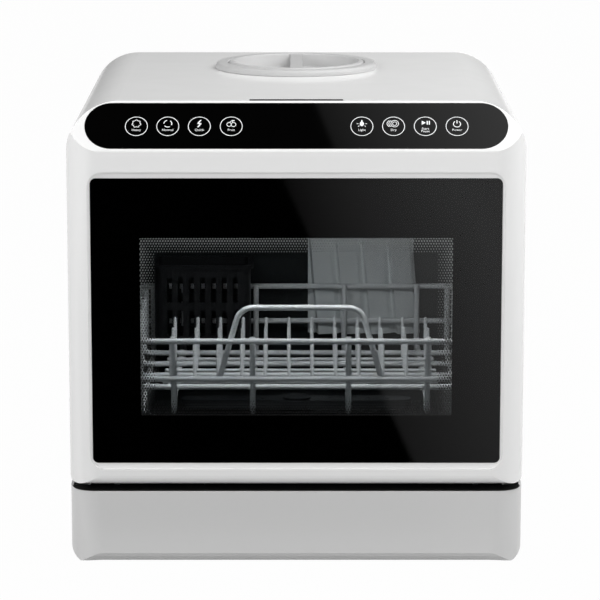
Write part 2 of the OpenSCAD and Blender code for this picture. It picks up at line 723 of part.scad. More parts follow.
// Latch above the tub: a sprung bolt that presses on the underside of the door's strike
latch_z = 392;
strike_w = 22;
bolt_travel = 4;
latch_y = frame_y + frame_t + fit;
latch_floor = latch_z - 18;
module latch_housing() color(dark) difference() {
    translate([-17, latch_y, latch_floor - 2]) cube([34, 18, latch_z + 10 - latch_floor + 2]);
    translate([-13, latch_y - 1, latch_z - 5]) cube([26, 16.5, 12]);
    translate([-7.3, latch_y + 1.7, latch_floor]) cube([14.6, 8.6, 20]);
}
module latch_bolt() color(pale) difference() {
    translate([-7, latch_y + 2, latch_z - 10]) cube([14, 8, 7.6]);
    translate([-8, latch_y + 2, latch_z - 5]) rotate([40, 0, 0]) translate([0, -8, -4]) cube([16, 8, 14]);
}
spring_turns = 5;
spring_len = 8 - 0.2;
module latch_spring() color(steel) translate([0, latch_y + 6, latch_floor + 0.1])
    for (i = [0:spring_turns - 1]) translate([0, 0, 0.5 + i * (spring_len - 1) / (spring_turns - 1)])
        rotate_extrude($fn = 32) translate([2.6, 0]) circle(0.5, $fn = 16);

// ---- door ----

// Section of the door in Y and Z, inset by its walls; the lower rear edge is cut back to swing clear
heel = 7;
function door_section(wall, face) = let (cut = wall > 0 ? heel + 1.42 * wall : heel, over = wall > 0 ? 1 : 0) [
    [front + face, door_bottom + wall],
    [door_back - cut + wall, door_bottom + wall],
    [door_back + over, door_bottom + cut + over],
    [door_back + over, door_top - wall],
    [front + slope_back + wall * tan((90 - slope_a) / 2), door_top - wall],
    [front + face, slope_z - wall * tan(slope_a / 2) + (face > wall ? (face - wall) / tan(slope_a) : 0)]
];
module door_form(wall, face) intersection() {
    along_y(front - 1, door_t + 4) front_outline(door_bottom, door_top, wall, 6);
    along_x(-half_w - 1, body_w + 2)
        polygon(rounded(door_section(wall, face), [9 - wall, 0, 0, 0, 3, 4], 6));
    translate([0, 0, door_bottom]) linear_extrude(door_top - door_bottom) {
        r = plan_r - wall;
        w = body_w - 2 * wall;
        y0 = front + wall;
        translate([-w / 2 + r, y0]) square([w - 2 * r, door_t + 4]);
        translate([-w / 2, y0 + r]) square([w, door_t + 4]);
        for (x = [-1, 1]) translate([x * (w / 2 - r), y0 + r]) circle(r);
    }
}
glass_mid = glass_z + glass_h / 2;
window_mid = window_z + window_h / 2;
step_w = 2.8;       // visible step beside the glass
step_h = 5.8;       // visible step above and below the glass
glass_t = 2.6;
mask_t = 0.5;
glass_y = front + recess_deep - 0.5;
module door_shell() color(white) difference() {
    door_form(0, 0);
    door_form(door_wall, door_face_t);
    // stepped seat of the glass, and the opening behind it
    along_y(front - 1, recess_deep + 1) translate([0, glass_mid])
        rrect(glass_w + 2 * step_w, glass_h + 2 * step_h, 14);
    along_y(front, recess_deep - 0.5 + glass_t + mask_t + 0.1) translate([0, glass_mid])
        rrect(glass_w + 2 * fit, glass_h + 2 * fit, 5 + fit);
    along_y(front, door_face_t + 2) translate([0, window_mid]) rrect(window_w + 44, window_h + 40, 6);
    // seat of the control strip, and the touch board's opening
    on_slope() translate([0, 0, -strip_t]) linear_extrude(10)
        rrect(strip_w + 2 * fit, strip_h + 2 * fit, strip_h / 2 + fit - 0.01);
    on_slope() translate([0, 0, -6]) linear_extrude(10) rrect(strip_w - 60, strip_h - 16, 6);
    // finger slot along the top edge
    translate([-slot_w / 2, door_back - 3.4, door_top - 17]) cube([slot_w, 14, 30]);
    // slots for the two hinge arms
    for (x = [-1, 1]) translate([x * arm_x - arm_t / 2 - 3, hinge_y - eye_r - 1, door_bottom - 1])
        cube([arm_t + 6, door_t, heel + 1.42 * door_wall + 2]);
}

module door_glass() color([0.2, 0.2, 0.2, 0.5]) along_y(glass_y, glass_t)
    translate([0, glass_mid]) rrect(glass_w, glass_h, 5);
module window_mask() color(black) along_y(glass_y + glass_t, mask_t) difference() {
    translate([0, glass_mid]) rrect(glass_w, glass_h, 5);
    translate([0, window_mid]) rrect(window_w, window_h, 1.5);
}
module control_strip() color(black) on_slope() translate([0, 0, -strip_t + 0.1]) linear_extrude(strip_t)
    rrect(strip_w, strip_h, strip_h / 2 - 0.01);
module touch_board() color([0.1, 0.35, 0.2]) on_slope()
    translate([0, 0, -strip_t - 1.8]) linear_extrude(1.6) rrect(strip_w - 62, strip_h - 18, 5);

// Dark liner: a plate with a raised frame around the inner window
liner_t = 3;
pane_w = window_w + 36;
pane_h = window_h + 40;
module door_liner() color(dark) difference() {
    union() {
        along_y(door_back - liner_t, liner_t)
            front_outline(door_bottom + heel + 0.42 * door_wall + 1, door_top, door_wall + fit, 4);
        along_y(door_back - liner_t - 5, 5.1) translate([0, window_mid])
            rring(pane_w + 18, pane_h + 18, 12, pane_w + 12, pane_h + 12, 9);
    }
    along_y(door_back - liner_t - 1, liner_t + 2) translate([0, window_mid])
        rrect(pane_w - 12, pane_h - 12, 10);
    translate([-slot_w / 2 - 2, door_back - liner_t - 1, door_top - 20]) cube([slot_w + 4, 14, 30]);
    for (x = [-1, 1]) translate([x * arm_x - arm_t / 2 - 3, door_back - 10, door_bottom - 1])
        cube([arm_t + 6, 20, hinge_z + eye_r + 4 - door_bottom]);
    for (p = liner_places) translate([p[0], 0, p[1]]) rod_y(1.8, door_back - 10, 20);
    // clears the wall behind the sloping face
    on_slope() translate([-half_w, -slope_len, -door_wall - fit]) cube([body_w, 3 * slope_len, 20]);
}
liner_places = [for (x = [-1, 1], z = [115, 240, 365]) [x * (half_w - 14), z]];
module liner_screws() color(steel) for (p = liner_places) translate([p[0], 0, p[1]]) {
    rod_y(1.6, door_back - 10, 10);
    difference() {
        rod_y(3.4, door_back + 0.05, 0.9);
        translate([0, door_back + 0.95, 0]) cube([0.8, 1, 4.6], center = true);
    }
}
module inner_window() color([0.6, 0.65, 0.65, 0.4]) along_y(door_back - liner_t - 3.2, 3.1)
    translate([0, window_mid]) rrect(pane_w, pane_h, 6);
module inner_window_seal() color(black) along_y(door_back - liner_t - 3.8, 3.7)
    translate([0, window_mid]) rring(pane_w + 11, pane_h + 11, 9, pane_w + 0.6, pane_h + 0.6, 6);

// Strike on the liner that reaches over the latch bolt
module latch_strike() color(steel) difference() {
    union() {
        translate([-strike_w / 2, door_back + 0.1, latch_z - 2]) cube([strike_w, 18, 2.5]);
        translate([-strike_w / 2, door_back + 0.1, latch_z - 4]) cube([strike_w, 2, 8]);
    }
    translate([-5, door_back + 11, latch_z - 8]) cube([10, 3, 20]);
}

// ---- basket ----

rail_r = wire_d / 2;
basket_y0 = tub_y + 14;
basket_mid = basket_y0 + basket_d / 2;
low_z = tub_z + rail_low;
top_z = tub_z + rail_top;
bend_r = 6;
run_z = tub_z + runner_h + fit + rail_r;         // axis of the wires that stand on the runners
floor_z = run_z + 2 * bend_r + 0.5;              // axis of the long floor wires
cross_z = floor_z + wire_d + weld;               // axis of the floor wires across
edge_r = 14;
in_y = wire_d + weld + rail_r;                   // axis of an upright inside the rails

// Quarter bend of wire in the XY plane, from an angle, about its own centre
module quarter(from, r, wire) rotate([0, 0, from])
    rotate_extrude(angle = 90) translate([r, 0]) circle(wire / 2, $fn = 24);
// The same in the YZ plane
module quarter_yz(y, z, from) translate([0, y, z]) rotate([90, 0, 90]) quarter(from, bend_r, wire_d);

module wire_loop(w, d, r, wire) {
    for (x = [-1, 1]) translate([x * (w / 2 - wire / 2), 0, 0]) rod_y(wire / 2, -d / 2 + r, d - 2 * r);
    for (y = [-1, 1]) translate([0, y * (d / 2 - wire / 2), 0]) rod_x(wire / 2, -w / 2 + r, w - 2 * r);
    for (c = [[1, 1, 0], [-1, 1, 90], [-1, -1, 180], [1, -1, 270]])
        translate([c[0] * (w / 2 - r), c[1] * (d / 2 - r), 0]) quarter(c[2], r - wire / 2, wire);
}
module basket_rails() color(pale) translate([basket_x, basket_mid, 0]) {
    translate([0, 0, top_z]) wire_loop(basket_w, basket_d, edge_r, wire_d);
    translate([0, 0, low_z]) wire_loop(basket_w, basket_d, edge_r, wire_d);
}

// Bent wires: up the front, along the floor and up the rear, with a U-shaped foot at each end
long_x = [-119, -45, 45, 119];
module upright(y, z) translate([0, y, z]) cylinder(r = rail_r, h = top_z - z + 3);
module rod_between(y0, y1, z) translate([0, 0, z]) rod_y(rail_r, y0, y1 - y0);
module half_wire() {
    y = -basket_d / 2 + in_y;
    upright(y, run_z + bend_r);
    quarter_yz(y + bend_r, run_z + bend_r, 180);
    quarter_yz(y + bend_r, run_z + bend_r, 270);
    translate([0, y + 2 * bend_r, run_z + bend_r]) cylinder(r = rail_r, h = 0.5);
    quarter_yz(y + 3 * bend_r, floor_z - bend_r, 90);
}
module basket_wires() color(pale) for (x = long_x) translate([basket_x + x, basket_mid, 0]) {
    half_wire();
    mirror([0, 1, 0]) half_wire();
    rod_between(-basket_d / 2 + in_y + 3 * bend_r, basket_d / 2 - in_y - 3 * bend_r, floor_z);
}
// The two outer wires that slide on the runners
module runner_wires() color(pale) for (x = [-150, 150]) translate([basket_x + x, basket_mid, 0]) {
    y = basket_d / 2 - in_y;
    for (s = [-1, 1]) upright(s * y, run_z + bend_r);
    quarter_yz(-y + bend_r, run_z + bend_r, 180);
    quarter_yz(y - bend_r, run_z + bend_r, 270);
    rod_between(-y + bend_r, y - bend_r, run_z);
}

// Floor wires that lie across the long wires and turn up to the rails
cross_n = 5;
module basket_floor() color(pale) for (i = [0:cross_n - 1]) {
    y = basket_y0 + 38 + i * (basket_d - 76) / (cross_n - 1);
    x1 = basket_w / 2 - in_y;
    translate([basket_x, y, cross_z]) {
        rod_x(rail_r, -x1 + bend_r, 2 * (x1 - bend_r));
        for (s = [-1, 1]) {
            translate([s * x1, 0, bend_r]) cylinder(r = rail_r, h = top_z - cross_z - bend_r + 3);
            translate([s * (x1 - bend_r), 0, bend_r]) rotate([90, 0, 0])
                quarter(s > 0 ? 270 : 180, bend_r, wire_d);
        }
    }
}

// Rows of tines on bars: each prong leans back
tine_rows = [0.5, 1.5, 2.5];       // counted in floor wires, so the bars lie between them
tine_pitch = 22.5;
tine_lean = 8;
tine_z = floor_z + rail_r + weld + tine_d / 2;
module basket_tines() color(pale) for (row = tine_rows)
    translate([basket_x, basket_y0 + 38 + row * (basket_d - 76) / (cross_n - 1), tine_z]) {
        rod_x(tine_d / 2, -(tines - 1) * tine_pitch / 2 - 8, (tines - 1) * tine_pitch + 16);
        for (i = [0:tines - 1]) translate([(i - (tines - 1) / 2) * tine_pitch, 0, 0])
            rotate([-tine_lean, 0, 0]) translate([0, 0, tine_d / 2 + weld])
                rotate_extrude($fn = 24) polygon([[0, 0], [tine_d / 2 - 0.1, 0],
                    [tine_d / 2 - 0.1, tine_h - 1.2], [tine_d / 2 - 1.1, tine_h], [0, tine_h]]);
    }

// Front handle: a trapezium of wire behind the rails
handle_low = 154;
handle_lean = 16;
handle_h = 108;
handle_r = 16;
module basket_handle() color(pale) translate([basket_x, basket_y0 + in_y, 0]) {
    z0 = low_z - 4;
    z1 = tub_z + handle_h;
    leg = (z1 - z0) / cos(handle_lean);
    inner = handle_r * tan((90 - handle_lean) / 2);
    half = handle_low / 2 - leg * sin(handle_lean) - inner;
    for (s = [0, 1]) mirror([s, 0, 0]) {
        translate([handle_low / 2, 0, z0]) rotate([0, -handle_lean, 0])
            cylinder(r = rail_r, h = leg - inner - 0.02);
        translate([half, 0, z1 - handle_r]) rotate([90, 0, 0]) rotate([0, 0, handle_lean])
            rotate_extrude(angle = 90 - handle_lean) translate([handle_r, 0])
                circle(rail_r, $fn = 24);
    }
    translate([0, 0, z1]) rod_x(rail_r, -half + 0.02, 2 * half - 0.04);
}

// Cutlery holder: a slotted box with two dividers and a rim
holder_w = 96;
holder_d = 54;
holder_h = 82;
holder_x = basket_x - 98;
holder_y = basket_y0 + 240;
holder_z = cross_z + rail_r + fit;
module cutlery_holder() color(dark) translate([holder_x, holder_y, holder_z]) {
    difference() {
        linear_extrude(holder_h) rrect(holder_w, holder_d, 8);
        translate([0, 0, 2.5]) linear_extrude(holder_h) rrect(holder_w - 5, holder_d - 5, 5.5);
        for (i = [-3:3], z = [10, 44]) translate([i * 11 - 2.5, -holder_d, z]) cube([5, 2 * holder_d, 26]);
        for (x = [-32:16:32], y = [-16, 0, 16]) translate([x, y, -1]) cylinder(r = 4, h = 5);
    }
    for (x = [-holder_w / 6, holder_w / 6])
        translate([x - 1, -holder_d / 2 + 2, 2]) cube([2, holder_d - 4, holder_h - 14]);
    translate([0, 0, holder_h - 4]) linear_extrude(4)
        rring(holder_w + 6, holder_d + 6, 11, holder_w - 5, holder_d - 5, 5.5);
}

// ---- spray arms ----

// Arm outline from above: two tapering blades round a hub, with round tips
module arm_plan(len, tip, hub) {
    circle(hub);
    for (s = [-1, 1]) {
        translate([s * (len / 2 - tip), 0]) circle(tip);
        polygon([[0, -hub * 0.8], [s * (len / 2 - tip), -tip], [s * (len / 2 - tip), tip], [0, hub * 0.8]]);
    }
}
module spray_arm(len, hub) difference() {
    union() {
        linear_extrude(8) arm_plan(len, 11, hub);
        translate([0, 0, -4]) cylinder(r = hub - 3, h = 14);
    }
    translate([0, 0, -5]) cylinder(r = stem_r - 5 + run, h = 12);
    for (s = [-1, 1], i = [1:4]) translate([s * (len / 2 - 4 - i * 19), s * (i % 2 == 0 ? 3 : -3), 5])
        cylinder(r = 1.6, h = 6);
}
arm_z = basin_z + 6;
module lower_spray_arm() color(grey) translate([0, basin_mid, arm_z]) spray_arm(lower_arm, 17);
module lower_arm_stem() color(dark) translate([0, basin_mid, 0]) difference() {
    union() {
        translate([0, 0, basin_z - 12 + 0.2]) cylinder(r = stem_r, h = 12 + 1.6);
        translate([0, 0, basin_z]) cylinder(r = stem_r - 5, h = 13 - 0.4);
        translate([0, 0, basin_z + 0.2]) cylinder(r = stem_r + 4, h = 1.4);
    }
    translate([0, 0, basin_z - 20]) cylinder(r = 3.5, h = 40);
}
upper_z = tub_top - 8;
module upper_spray_arm() color(grey) translate([0, basin_mid, upper_z]) mirror([0, 0, 1])
    spray_arm(upper_arm, 15);
module upper_arm_stem() color(dark) translate([0, basin_mid, 0]) difference() {
    union() {
        translate([0, 0, tub_top - 1.8]) cylinder(r = stem_r, h = 1.8 + tub_t + 5);
        translate([0, 0, tub_top - 14.6]) cylinder(r = stem_r - 5, h = 14);
        translate([0, 0, tub_top - 1.8]) cylinder(r = stem_r + 4, h = 1.6);
    }
    translate([0, 0, tub_top - 20]) cylinder(r = 3.5, h = 40);
}

outer_shell();
rear_cover();
base_pan();
front_plinth();
rubber_feet();
front_frame();
tub();
tub_gasket();
air_duct_panel();
tub_lamp();
water_tank();
filler_ring();
tank_cap();
cap_gasket();
level_float();
float_guide();
sump();
filter_cup();
wash_pump();
pump_impeller();
drain_pump();
flow_heater();
fan_housing();
fan_wheel();
main_board();
inlet_spigot();
drain_spigot();
power_gland();
cover_screws();
hinge_arm_left();
hinge_arm_right();
latch_housing();
latch_bolt();
latch_spring();
door_shell();
door_glass();
window_mask();
control_strip();
touch_board();
door_liner();
inner_window();
inner_window_seal();
hinge_bracket_left();
hinge_bracket_right();
hinge_pins();
latch_strike();
liner_screws();
basket_rails();
basket_wires();
runner_wires();
basket_floor();
basket_tines();
basket_handle();
cutlery_holder();
lower_spray_arm();
lower_arm_stem();
upper_spray_arm();
upper_arm_stem();
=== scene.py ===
"""A white countertop dishwasher with a window door, in a plain white studio."""

import math

import bpy
from mathutils import Matrix, Vector


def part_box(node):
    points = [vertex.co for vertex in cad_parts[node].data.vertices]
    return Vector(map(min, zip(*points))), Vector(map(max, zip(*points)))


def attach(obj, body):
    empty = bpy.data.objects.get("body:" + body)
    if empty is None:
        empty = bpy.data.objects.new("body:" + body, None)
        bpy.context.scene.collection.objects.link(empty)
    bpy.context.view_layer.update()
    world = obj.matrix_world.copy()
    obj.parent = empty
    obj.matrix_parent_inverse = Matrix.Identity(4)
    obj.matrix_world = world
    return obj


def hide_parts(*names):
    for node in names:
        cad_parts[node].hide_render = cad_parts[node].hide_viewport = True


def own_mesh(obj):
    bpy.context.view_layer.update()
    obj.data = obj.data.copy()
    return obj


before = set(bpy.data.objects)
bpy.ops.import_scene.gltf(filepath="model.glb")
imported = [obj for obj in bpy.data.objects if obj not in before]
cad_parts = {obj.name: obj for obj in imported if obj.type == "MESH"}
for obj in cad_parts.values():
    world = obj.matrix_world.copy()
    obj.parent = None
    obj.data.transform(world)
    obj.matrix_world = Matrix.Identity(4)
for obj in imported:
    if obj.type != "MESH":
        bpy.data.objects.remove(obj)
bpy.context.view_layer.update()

MM = 0.001

# ---- sizes that the model gives ----

door_low, door_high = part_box("door_shell")
spring_low, spring_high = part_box("latch_spring")

SLOPE_BACK = 35 * MM  # how far the control face leans back over its rise
SLOPE_RISE = 41 * MM
SLOPE_FOOT = 388 * MM
LEAN = math.atan2(SLOPE_BACK, SLOPE_RISE)
FRONT = door_low[1]
WINDOW_W = 285 * MM
WINDOW_H = 165 * MM
WINDOW_Z = 142.5 * MM
WINDOW_MID = WINDOW_Z + WINDOW_H / 2
DOT_PITCH = 2.45 * MM
DOT_BORDER = 14 * MM  # width of the printed border inside the window's edge
DOTS_TO_THE_LEFT = 400  # keeps the count of dots above zero, where its fraction is taken


# ---- shader maths ----


class Value:
    """A socket that adds Math nodes when it is used in an expression."""

    def __init__(self, shade, socket):
        self.shade = shade
        self.socket = socket

    def maths(self, operation, *others):
        return self.shade.add("ShaderNodeMath", [self, *others], operation=operation)

    def __add__(self, other):
        return self.maths("ADD", other)

    __radd__ = __add__

    def __mul__(self, other):
        return self.maths("MULTIPLY", other)

    __rmul__ = __mul__

    def __sub__(self, other):
        return self.maths("SUBTRACT", other)

    def __rsub__(self, other):
        return self.shade.add("ShaderNodeMath", [other, self], operation="SUBTRACT")

    def __truediv__(self, other):
        return self.maths("DIVIDE", other)

    def __pow__(self, other):
        return self.maths("POWER", other)

    def __abs__(self):
        return self.maths("ABSOLUTE")

    def __lt__(self, other):
        return self.maths("LESS_THAN", other)

    def __gt__(self, other):
        return self.maths("GREATER_THAN", other)

    def clamp(self):
        """The value kept between 0 and 1."""
        whole = [self, 1.0, 0.0]
        return self.shade.add("ShaderNodeMath", whole, operation="MULTIPLY_ADD", use_clamp=True)


class Shade:
    """A material, or the world when it is given as the owner, and the nodes in it."""

    def __init__(self, name, owner=None, output="ShaderNodeOutputMaterial"):
        self.owner = owner or bpy.data.materials.new(name)
        self.owner.use_nodes = True
        self.nodes = self.owner.node_tree.nodes
        self.links = self.owner.node_tree.links
        self.nodes.clear()
        self.output = self.nodes.new(output)

    def add(self, kind, inputs=(), out=0, **settings):
        """Adds a node: its settings first, then its input sockets, by number or by name."""
        node = self.nodes.new(kind)
        for key, value in settings.items():
            setattr(node, key, value)
        pairs = inputs.items() if isinstance(inputs, dict) else enumerate(inputs)
        for key, value in pairs:
            if isinstance(value, Value):
                self.links.new(value.socket, node.inputs[key])
            else:
                node.inputs[key].default_value = value
        return Value(self, node.outputs[out])

    def place(self):
        return self.add("ShaderNodeTexCoord", out="Object")

    def axes(self):
        split = self.add("ShaderNodeSeparateXYZ", [self.place()]).socket.node
        return [Value(self, split.outputs[i]) for i in range(3)]

    def noise(self, scale, detail=3.0, rough=0.5, place=None):
        sockets = {
            "Vector": place or self.place(),
            "Scale": scale,
            "Detail": detail,
            "Roughness": rough,
        }
        return self.add("ShaderNodeTexNoise", sockets)

    def blend(self, factor, first, second):
        """Mixes two colours."""
        first, second = (
            colour if isinstance(colour, Value) else (*colour, 1.0) for colour in (first, second)
        )
        sockets = {0: factor, 6: first, 7: second}
        return self.add("ShaderNodeMix", sockets, out=2, data_type="RGBA")

    def bump(self, height, strength, distance):
        sockets = {"Height": height, "Strength": strength, "Distance": distance}
        return self.add("ShaderNodeBump", sockets)

    def principled(self, **sockets):
        """A Principled shader; the keywords are its sockets' names with _ for a space."""
        named = {key.replace("_", " "): value for key, value in sockets.items()}
        for key in ("Base Color", "Emission Color"):
            if key in named and not isinstance(named[key], Value):
                named[key] = (*named[key], 1.0)
        return self.add("ShaderNodeBsdfPrincipled", named)

    def mix(self, factor, first, second):
        return self.add("ShaderNodeMixShader", [factor, first, second])

    def done(self, shader):
        self.links.new(shader.socket, self.output.inputs["Surface"])
        return self.owner


# ---- finishes ----


def moulded(name, colour, rough, grain=900.0, depth=0.00002, coat=0.0, vary=0.03, patchy=0.12):
    """Moulded plastic: a faint drift of tone, a fine grain and a few duller patches."""
    shade = Shade(name)
    drift = shade.noise(7.0, 2.0)
    darker = tuple(c * (1 - vary) for c in colour)
    lighter = tuple(min(1.0, c * (1 + vary)) for c in colour)
    skin = shade.noise(grain, 2.0)
    dull = shade.noise(26.0, 4.0, 0.6)
    return shade.done(
        shade.principled(
            Base_Color=shade.blend(drift, darker, lighter),
            Roughness=rough + (dull - 0.5) * patchy,
            Coat_Weight=coat,
            Coat_Roughness=0.08,
            Normal=shade.bump(skin, 0.35, depth),
        )
    )


def rubber(name, colour=(0.018, 0.018, 0.019)):
    """Matt black rubber with a powdery bloom."""
    shade = Shade(name)
    bloom = shade.noise(40.0, 5.0, 0.65)
    return shade.done(
        shade.principled(
            Base_Color=shade.blend(bloom, colour, tuple(c * 1.9 for c in colour)),
            Roughness=0.62 + bloom * 0.2,
            Normal=shade.bump(shade.noise(1400.0, 2.0), 0.4, 0.00003),
        )
    )


def brushed(name, colour):
    """Zinc-plated steel with fine streaks along X."""
    shade = Shade(name)
    laid = shade.add("ShaderNodeMapping", {"Vector": shade.place(), "Scale": (1.0, 24.0, 24.0)})
    streak = shade.noise(60.0, 4.0, 0.6, laid)
    cloud = shade.noise(18.0, 3.0)
    return shade.done(
        shade.principled(
            Base_Color=shade.blend(cloud, colour, tuple(c * 0.82 for c in colour)),
            Metallic=1.0,
            Roughness=0.24 + streak * 0.22,
            Normal=shade.bump(streak, 0.2, 0.00002),
        )
    )


def powder_coat(name, colour):
    """Dark powder coat with its orange-peel skin."""
    shade = Shade(name)
    peel = shade.noise(420.0, 2.0)
    return shade.done(
        shade.principled(
            Base_Color=shade.blend(shade.noise(9.0), colour, tuple(c * 1.3 for c in colour)),
            Roughness=0.46 + shade.noise(30.0, 4.0) * 0.14,
            Normal=shade.bump(peel, 0.5, 0.00006),
        )
    )


def dipped_wire(name, colour):
    """Nylon-dipped wire: smooth, a little lumpy, with a soft shine."""
    shade = Shade(name)
    lump = shade.noise(90.0, 2.0)
    speck = shade.noise(1100.0, 1.0)
    return shade.done(
        shade.principled(
            Base_Color=shade.blend(lump, tuple(c * 0.93 for c in colour), colour),
            Roughness=0.34 + speck * 0.12,
            Coat_Weight=0.25,
            Coat_Roughness=0.15,
            Normal=shade.bump(lump, 0.3, 0.0003),
        )
    )


def board(name):
    """Green solder mask with paler tracks laid in a grid."""
    shade = Shade(name)
    x, _, z = shade.axes()
    upright = (x * 520).maths("FRACT") > 0.78
    level = (z * 410).maths("FRACT") > 0.8
    tracks = upright.maths("MAXIMUM", level) * (shade.noise(55.0, 2.0) > 0.5)
    return shade.done(
        shade.principled(
            Base_Color=shade.blend(tracks, (0.02, 0.12, 0.05), (0.07, 0.26, 0.12)),
            Roughness=0.36 - tracks * 0.08,
            Normal=shade.bump(tracks, 0.5, 0.00004),
        )
    )


def clear_panel(name, tint, gloss):
    """Clear pane: it lets light straight through and mirrors a share that grows at a glance."""
    shade = Shade(name)
    glance = shade.add("ShaderNodeFresnel", {"IOR": 1.5})
    smear = shade.noise(12.0, 3.0)
    through = shade.add("ShaderNodeBsdfTransparent", {"Color": (*tint, 1.0)})
    mirror = shade.principled(
        Base_Color=(0.9, 0.9, 0.9), Metallic=1.0, Roughness=0.015 + smear * 0.02
    )
    return shade.done(shade.mix(glance * gloss, through, mirror))


def front_glass(name):
    """The door's glass: smoky, with a printed border of dots that shrink towards the middle and
    are paler towards the top."""
    shade = Shade(name)
    x, _, z = shade.axes()
    edge_x = WINDOW_W / 2 - abs(x)
    edge_z = WINDOW_H / 2 - abs(z - WINDOW_MID)
    inside = edge_x.maths("MINIMUM", edge_z)
    fade = (1 - inside / DOT_BORDER).clamp()
    row = (z / DOT_PITCH).maths("FLOOR").maths("MODULO", 2.0)
    cell_x = (x / DOT_PITCH + row * 0.5 + DOTS_TO_THE_LEFT).maths("FRACT") - 0.5
    cell_z = (z / DOT_PITCH).maths("FRACT") - 0.5
    reach = (cell_x * cell_x + cell_z * cell_z).maths("SQRT")
    dot = (reach < 0.14 + fade * 0.2) * (fade > 0.02) * (inside > 0)
    glance = shade.add("ShaderNodeFresnel", {"IOR": 1.5})
    through = shade.add("ShaderNodeBsdfTransparent", {"Color": (0.66, 0.67, 0.675, 1.0)})
    smear = shade.noise(9.0, 3.0)
    mirror = shade.principled(
        Base_Color=(0.95, 0.95, 0.95), Metallic=1.0, Roughness=0.012 + smear * 0.02
    )
    height = ((z - WINDOW_Z) / WINDOW_H).clamp() ** 1.5
    print_colour = shade.blend(height, (0.004, 0.004, 0.004), (0.15, 0.16, 0.16))
    enamel = shade.principled(Base_Color=print_colour, Roughness=0.5)
    printed = shade.mix(dot, through, enamel)
    return shade.done(shade.mix(glance * 0.9, printed, mirror))


def black_enamel(name):
    """Black print that is seen through the glass in front of it, so it has no shine of its own."""
    shade = Shade(name)
    cloud = shade.noise(30.0, 3.0)
    return shade.done(
        shade.principled(
            Base_Color=shade.blend(cloud, (0.0008, 0.0008, 0.0008), (0.0014, 0.0014, 0.0014)),
            Roughness=0.9 + cloud * 0.05,
            Specular_IOR_Level=0.0,
        )
    )


def black_glass(name):
    """Black glass of the control strip: a deep black under a hard, even gloss."""
    shade = Shade(name)
    smear = shade.noise(14.0, 4.0, 0.6)
    return shade.done(
        shade.principled(
            Base_Color=shade.blend(smear, (0.0007, 0.0007, 0.0007), (0.0012, 0.0012, 0.0012)),
            Roughness=0.02 + smear * 0.03,
            IOR=1.5,
        )
    )


def lamp_lens(name):
    """Frosted lens with the tub's lamp behind it."""
    shade = Shade(name)
    frost = shade.noise(500.0, 2.0)
    return shade.done(
        shade.principled(
            Base_Color=shade.blend(frost, (0.75, 0.8, 0.84), (0.88, 0.92, 0.95)),
            Roughness=0.3 + frost * 0.2,
            Emission_Color=(0.85, 0.93, 1.0),
            Emission_Strength=40.0,
            Normal=shade.bump(frost, 0.4, 0.0001),
        )
    )


def frosted_tank(name, colour):
    """Milky tank wall with faint flow lines."""
    shade = Shade(name)
    flow = shade.noise(16.0, 5.0, 0.6)
    return shade.done(
        shade.principled(
            Base_Color=shade.blend(flow, colour, tuple(c * 0.9 for c in colour)),
            Roughness=0.38 + flow * 0.15,
            Subsurface_Weight=0.25,
            Subsurface_Scale=0.004,
            Normal=shade.bump(shade.noise(700.0, 2.0), 0.3, 0.00004),
        )
    )


def pale_ink(name):
    """Pale grey ink of the touch marks, a little uneven as screen print is."""
    shade = Shade(name)
    grain = shade.noise(2500.0, 2.0)
    return shade.done(
        shade.principled(
            Base_Color=shade.blend(grain, (0.8, 0.81, 0.82), (0.9, 0.91, 0.92)),
            Roughness=0.42 + grain * 0.15,
        )
    )


white_shell = moulded(
    "white shell moulding", (0.83, 0.83, 0.828), 0.24, coat=0.3, vary=0.006, patchy=0.04
)
# painted shade: the plinth is the shell's white plastic, darkened because less light reaches it low
# down
white_plinth_painted_shade = moulded(
    "white moulding darkened as painted shade on the plinth", (0.62, 0.62, 0.619), 0.3, coat=0.2, vary=0.006, patchy=0.04
)
white_cap = moulded(
    "white cap moulding", (0.5, 0.5, 0.5), 0.34, coat=0.1, vary=0.008, patchy=0.06
)
white_cover = moulded(
    "white satin cover", (0.8, 0.8, 0.795), 0.5, grain=520.0, depth=0.00006, vary=0.012
)
dark_mould = moulded("dark satin moulding", (0.022, 0.023, 0.024), 0.42, vary=0.12)
tub_mould = moulded(
    "dark grey tub moulding", (0.014, 0.016, 0.0165), 0.3, grain=300.0, depth=0.00004, vary=0.1
)
arm_mould = moulded("dark spray arm moulding", (0.03, 0.032, 0.034), 0.38, vary=0.06)
duct_mould = moulded("pale duct moulding", (0.8, 0.82, 0.82), 0.42, vary=0.04)
pale_mould = moulded("pale moulding", (0.62, 0.64, 0.65), 0.4, vary=0.03)
holder_mould = moulded("dark holder moulding", (0.012, 0.012, 0.013), 0.36, vary=0.12)
tank_wall = frosted_tank("milky tank wall", (0.66, 0.68, 0.69))
black_rubber = rubber("black rubber")
# painted shade: a near-black matt sheet that stands for the shade deep in the gap between door and
# plinth
gap_painted_shade = rubber("black painted shade in the plinth gap", (0.003, 0.003, 0.003))
zinc = brushed("zinc-plated steel", (0.62, 0.62, 0.63))
pan_coat = powder_coat("dark powder coat", (0.03, 0.03, 0.032))
wire_coat = dipped_wire("nylon-dipped wire", (0.86, 0.87, 0.88))
glass_front = front_glass("door glass with dotted border")
glass_inner = clear_panel("inner window pane", (0.95, 0.96, 0.96), 0.1)
mask_print = black_enamel("black print behind the glass")
strip_glass = black_glass("black control glass")
solder_mask = board("solder mask")
lens = lamp_lens("tub lamp lens")
ink = pale_ink("touch mark ink")

